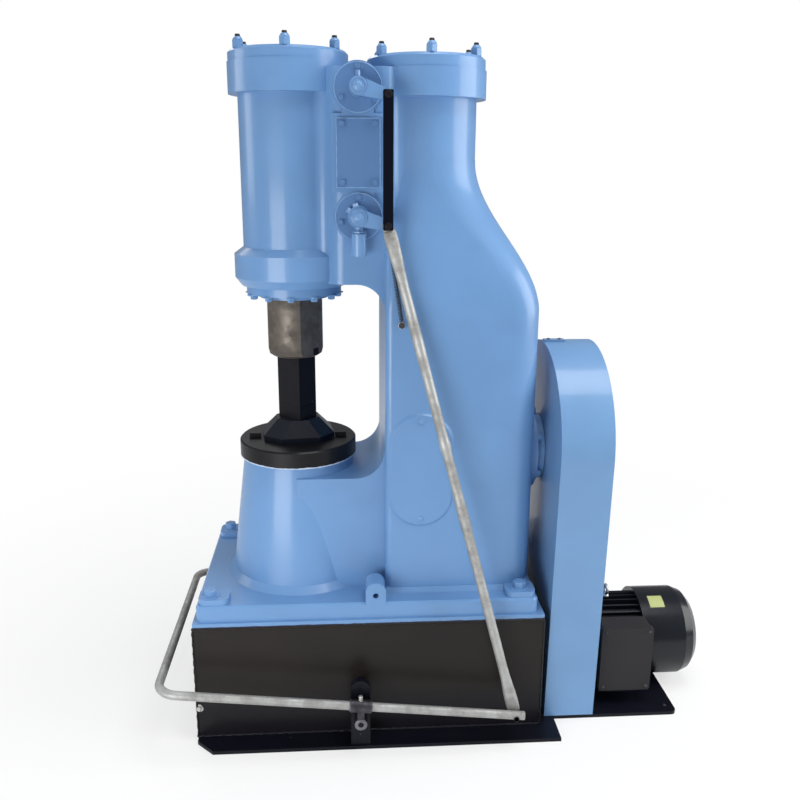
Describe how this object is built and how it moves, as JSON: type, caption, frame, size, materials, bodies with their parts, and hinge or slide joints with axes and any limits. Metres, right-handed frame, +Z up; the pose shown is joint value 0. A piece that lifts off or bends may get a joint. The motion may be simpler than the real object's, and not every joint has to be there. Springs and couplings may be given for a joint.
{
  "type": "pneumatic forging hammer",
  "caption": "Self-contained pneumatic forging hammer: C-shaped casting with ram and work cylinder, compression cylinder, valve levers, treadle, belt guard and motor on a welded base.",
  "frame": {"origin": "on the floor, straight below the axis of the ram and anvil", "axes": "+X from the anvil towards the belt guard and motor, +Y to the side away from the valve linkage, +Z up"},
  "size_m": [1.199, 0.575, 1.415],
  "materials": {
    "casting_paint": "satin",
    "base_paint": "satin",
    "plate_steel": "satin",
    "guard_paint": "satin",
    "bare_steel": "satin",
    "die_steel": "satin",
    "ram_steel": "polished",
    "anvil_iron": "matte",
    "black_paint": "satin",
    "motor_paint": "satin",
    "dark_steel": "satin"
  },
  "bodies": {
    "frame": {"base_floor_plate": "plate_steel", "motor_plate": "plate_steel", "base_box": "base_paint", "base_top_plate": "casting_paint", "frame_casting": "casting_paint", "work_cylinder_cover": "casting_paint", "compression_cylinder_cover": "casting_paint", "work_cover_nuts": "casting_paint", "compression_cover_nuts": "casting_paint", "gland_plate": "casting_paint", "anvil_ring": "anvil_iron", "die_holder": "anvil_iron", "lower_die": "die_steel", "die_keys": "dark_steel", "upper_valve_cover": "casting_paint", "lower_valve_cover": "casting_paint", "middle_cover": "casting_paint", "far_valve_covers": "casting_paint", "crankcase_cover": "casting_paint", "far_crankcase_cover": "casting_paint", "bearing_housing": "casting_paint", "crank_shaft": "bare_steel", "belt_guard": "guard_paint", "guard_strap": "guard_paint", "motor_body": "motor_paint", "motor_cowl": "motor_paint", "terminal_box": "motor_paint", "near_treadle_bracket": "plate_steel", "far_treadle_bracket": "plate_steel", "spring_bolt": "dark_steel", "return_spring": "dark_steel"},
    "ram": {"ram": "ram_steel", "upper_die": "die_steel"},
    "treadle": {"treadle_bar": "bare_steel", "near_treadle_sleeve": "dark_steel", "far_treadle_sleeve": "dark_steel", "rod_bolt": "dark_steel"},
    "pull_rod": {"pull_rod": "bare_steel"},
    "upper_valve": {"upper_valve_shaft": "casting_paint", "upper_valve_arm": "casting_paint"},
    "lower_valve": {"lower_valve_shaft": "casting_paint", "lower_valve_arm": "casting_paint", "lever_socket": "casting_paint"},
    "valve_link": {"valve_link": "black_paint"}
  },
  "joints": [
    {"name": "ram_slide", "type": "slide", "parent": "frame", "child": "ram", "axis": [0, 0, 1], "range_m": [0, 0.12]},
    {"name": "treadle_pivot", "type": "hinge", "parent": "frame", "child": "treadle", "pos_m": [0.127, 0, 0.078], "axis": [0, -1, 0], "range_deg": [0, 6], "stiffness_Nm_per_rad": 20, "springref_deg": -11.46},
    {"name": "lower_valve_turn", "type": "hinge", "parent": "frame", "child": "lower_valve", "pos_m": [0.133, 0, 1.083], "axis": [0, -1, 0], "range_deg": [0, 35.1], "deforming": ["return_spring"]},
    {"name": "upper_valve_turn", "type": "hinge", "parent": "frame", "child": "upper_valve", "pos_m": [0.133, 0, 1.317], "axis": [0, -1, 0], "range_deg": [0, 35.1]},
    {"name": "valve_link_turn", "type": "hinge", "parent": "lower_valve", "child": "valve_link", "pos_m": [0.18696, 0, 1.06804], "axis": [0, -1, 0], "range_deg": [-35.1, 0]},
    {"name": "pull_rod_turn", "type": "hinge", "parent": "treadle", "child": "pull_rod", "pos_m": [0.448, 0, 0.076], "axis": [0, -1, 0], "range_deg": [-6.1, 0]}
  ],
  "couplings": [
    {"joint": "lower_valve_turn", "follows": "treadle_pivot", "ratio": 5.8341},
    {"joint": "upper_valve_turn", "follows": "treadle_pivot", "ratio": 5.8341},
    {"joint": "valve_link_turn", "follows": "treadle_pivot", "ratio": -5.8341},
    {"joint": "pull_rod_turn", "follows": "treadle_pivot", "ratio": -1.0036}
  ]
}
